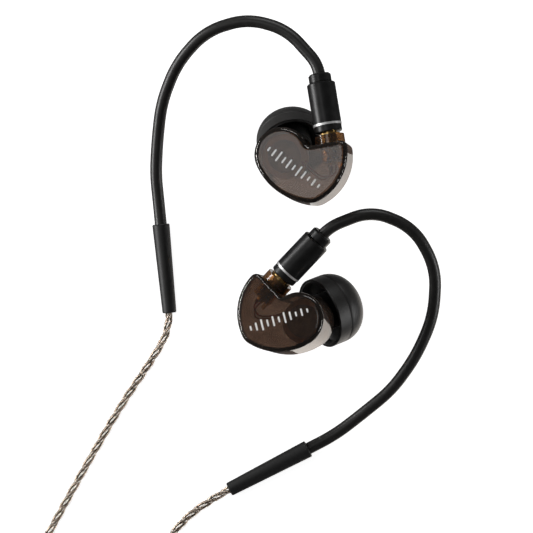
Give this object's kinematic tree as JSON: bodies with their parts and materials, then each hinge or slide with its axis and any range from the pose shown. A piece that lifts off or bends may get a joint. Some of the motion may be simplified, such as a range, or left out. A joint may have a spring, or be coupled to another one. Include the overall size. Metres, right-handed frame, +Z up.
{
  "type": "in-ear monitors",
  "caption": "Wired in-ear monitors with translucent housings, silicone ear tips, over-ear guides and a detachable twisted cable, laid out on a table.",
  "frame": {"origin": "on the table, under the middle of the two monitors and their ear guides", "axes": "+Z up out of the table and the outer faces, +Y from the lower monitor towards the upper one, +X to the right"},
  "size_m": [0.0829, 0.2171, 0.0207],
  "materials": {
    "smoke_shell": "glossy translucent smoke brown",
    "tip_silicone": "matte black silicone",
    "black_metal": "satin black anodised",
    "bright_steel": "bright",
    "gold_contact": "gold plated",
    "guide_rubber": "satin black tube",
    "boot_plastic": "matte black",
    "cable": "clear jacket over silver strands",
    "driver_metal": "satin",
    "magnet": "plated",
    "copper_wire": "enamelled copper",
    "driver_film": "thin film",
    "white_insulator": "matte",
    "lead_wire": "enamel",
    "tie_plastic": "woven strap",
    "jack_band": "matte black"
  },
  "bodies": {
    "harness": {"left_plug_shell": "gold_contact", "left_plug_insulator": "white_insulator", "left_plug_pin": "gold_contact", "left_barrel": "black_metal", "left_accent_ring": "bright_steel", "left_upper_collar": "black_metal", "left_ear_guide": "guide_rubber", "left_boot": "boot_plastic", "left_branch_cable": "cable", "left_branch_coil": "cable", "right_plug_shell": "gold_contact", "right_plug_insulator": "white_insulator", "right_plug_pin": "gold_contact", "right_barrel": "black_metal", "right_accent_ring": "bright_steel", "right_upper_collar": "black_metal", "right_ear_guide": "guide_rubber", "right_boot": "boot_plastic", "right_branch_cable": "cable", "right_branch_coil": "cable", "main_cable": "cable", "main_coil": "cable", "cable_ties": "tie_plastic", "splitter": "black_metal", "jack_relief": "boot_plastic", "jack_handle": "black_metal", "jack_sleeve": "gold_contact", "jack_ring": "gold_contact", "jack_tip": "gold_contact", "jack_insulators": "jack_band"},
    "left_snap": {"left_snap_ring": "gold_contact"},
    "left_monitor": {"left_faceplate": "smoke_shell", "left_rear_shell": "smoke_shell", "left_nozzle_grille": "bright_steel", "left_driver_frame": "driver_metal", "left_driver_yoke": "driver_metal", "left_driver_magnet": "magnet", "left_voice_coil": "copper_wire", "left_diaphragm": "driver_film", "left_socket_shell": "gold_contact", "left_socket_insulator": "white_insulator", "left_socket_contact": "gold_contact", "left_lead_wires": "lead_wire"},
    "left_tip": {"left_ear_tip": "tip_silicone"},
    "right_snap": {"right_snap_ring": "gold_contact"},
    "right_monitor": {"right_faceplate": "smoke_shell", "right_rear_shell": "smoke_shell", "right_nozzle_grille": "bright_steel", "right_driver_frame": "driver_metal", "right_driver_yoke": "driver_metal", "right_driver_magnet": "magnet", "right_voice_coil": "copper_wire", "right_diaphragm": "driver_film", "right_socket_shell": "gold_contact", "right_socket_insulator": "white_insulator", "right_socket_contact": "gold_contact", "right_lead_wires": "lead_wire"},
    "right_tip": {"right_ear_tip": "tip_silicone"},
    "slider": {"chin_slider": "black_metal"}
  },
  "joints": [
    {"name": "left_swivel", "type": "hinge", "parent": "harness", "child": "left_snap", "pos_m": [-0.00373, -0.00507, 0.01092], "axis": [0.6781, 0.7141, 0.174], "continuous": true},
    {"name": "left_unplug", "type": "slide", "parent": "left_snap", "child": "left_monitor", "axis": [-0.6781, -0.7141, -0.174], "range_m": [0, 0.0032]},
    {"name": "left_tip_pull", "type": "slide", "parent": "left_monitor", "child": "left_tip", "axis": [0.8016, 0.3147, -0.5083], "range_m": [0, 0.0045]},
    {"name": "right_swivel", "type": "hinge", "parent": "harness", "child": "right_snap", "pos_m": [0.0063, 0.02044, 0.01593], "axis": [-0.158, 0.9799, -0.122], "continuous": true},
    {"name": "right_unplug", "type": "slide", "parent": "right_snap", "child": "right_monitor", "axis": [0.158, -0.9799, 0.122], "range_m": [0, 0.0032]},
    {"name": "right_tip_pull", "type": "slide", "parent": "right_monitor", "child": "right_tip", "axis": [-0.1107, 0.5751, -0.8106], "range_m": [0, 0.0045]},
    {"name": "slider_run", "type": "slide", "parent": "harness", "child": "slider", "axis": [0, 1, 0], "range_m": [0, 0.009]}
  ]
}
